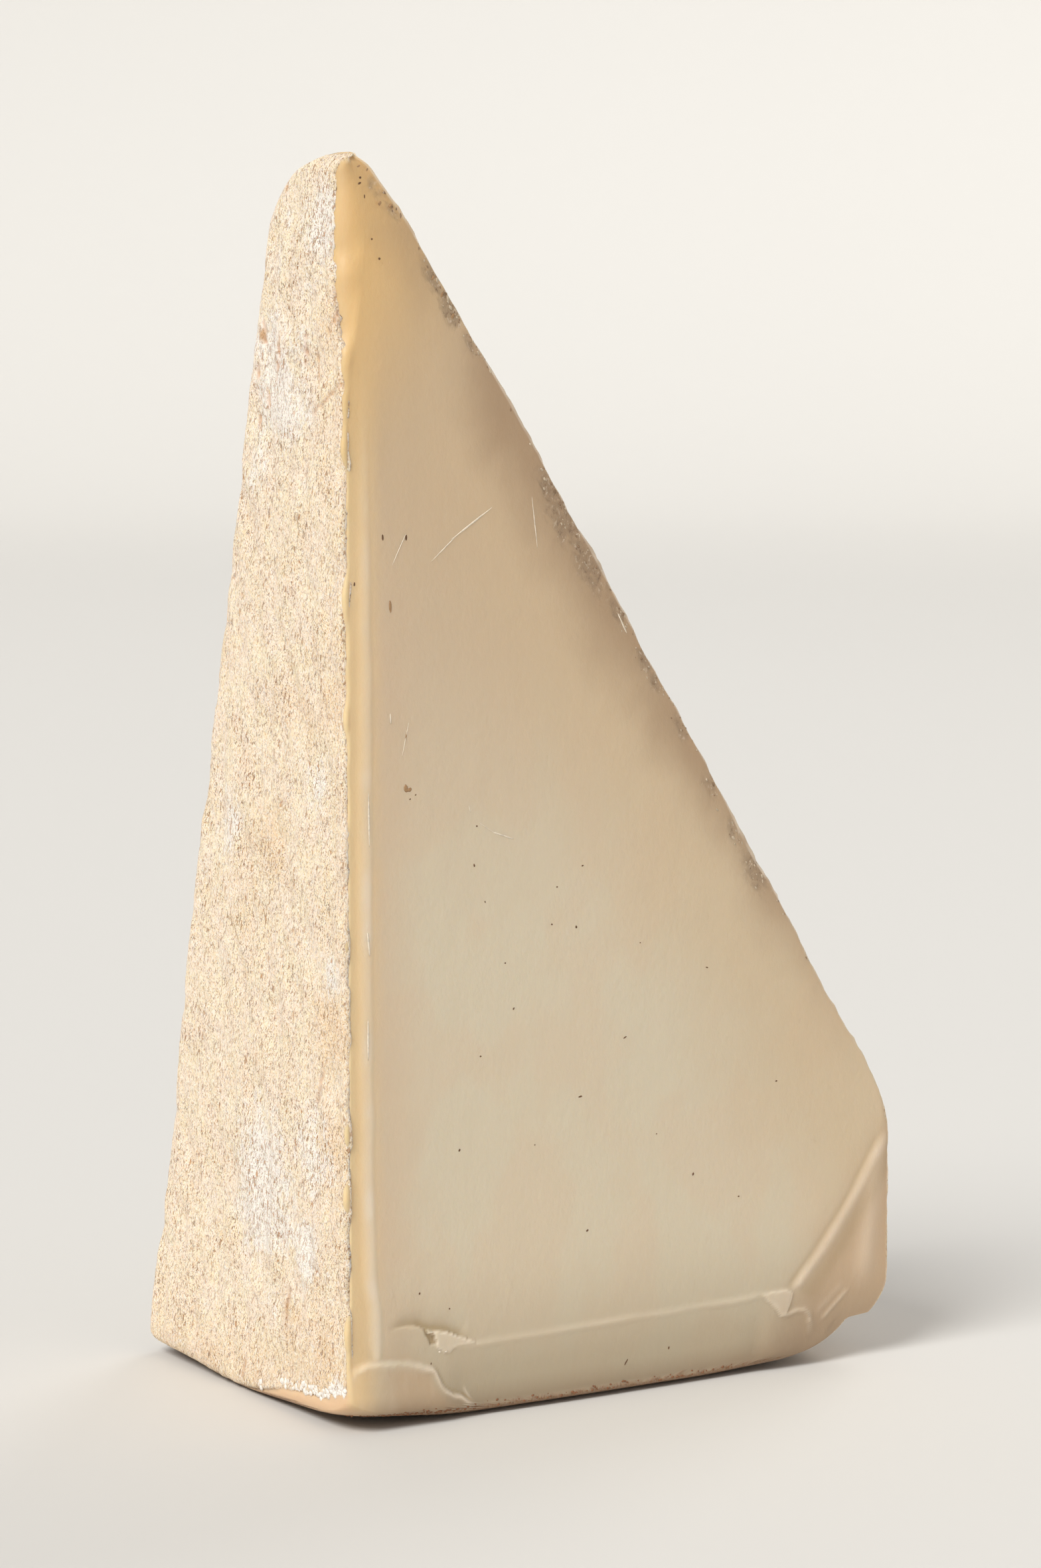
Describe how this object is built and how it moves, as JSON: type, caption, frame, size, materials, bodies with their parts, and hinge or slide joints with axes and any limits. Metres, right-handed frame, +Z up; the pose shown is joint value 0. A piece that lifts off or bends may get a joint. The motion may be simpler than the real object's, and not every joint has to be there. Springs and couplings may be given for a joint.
{
  "type": "cheese wedge",
  "caption": "Tall wedge of hard cheese standing on its heel, with flat rinds on both sides, smooth cut faces and a diagonal trimmed face up to a rounded tip.",
  "frame": {"origin": "centre of the wedge's box in plan, on the surface it stands on", "axes": "+Z up from the heel to the tip, the flat rind faces -X, the broad cut face looks along -Y, and the short rind faces +X"},
  "size_m": [0.0866, 0.0562, 0.1614],
  "materials": {
    "cheese": "smooth waxy cut paste with a dry, pitted, cream and ochre rind"
  },
  "bodies": {
    "root": {"cheese_wedge": "cheese"}
  },
  "joints": []
}
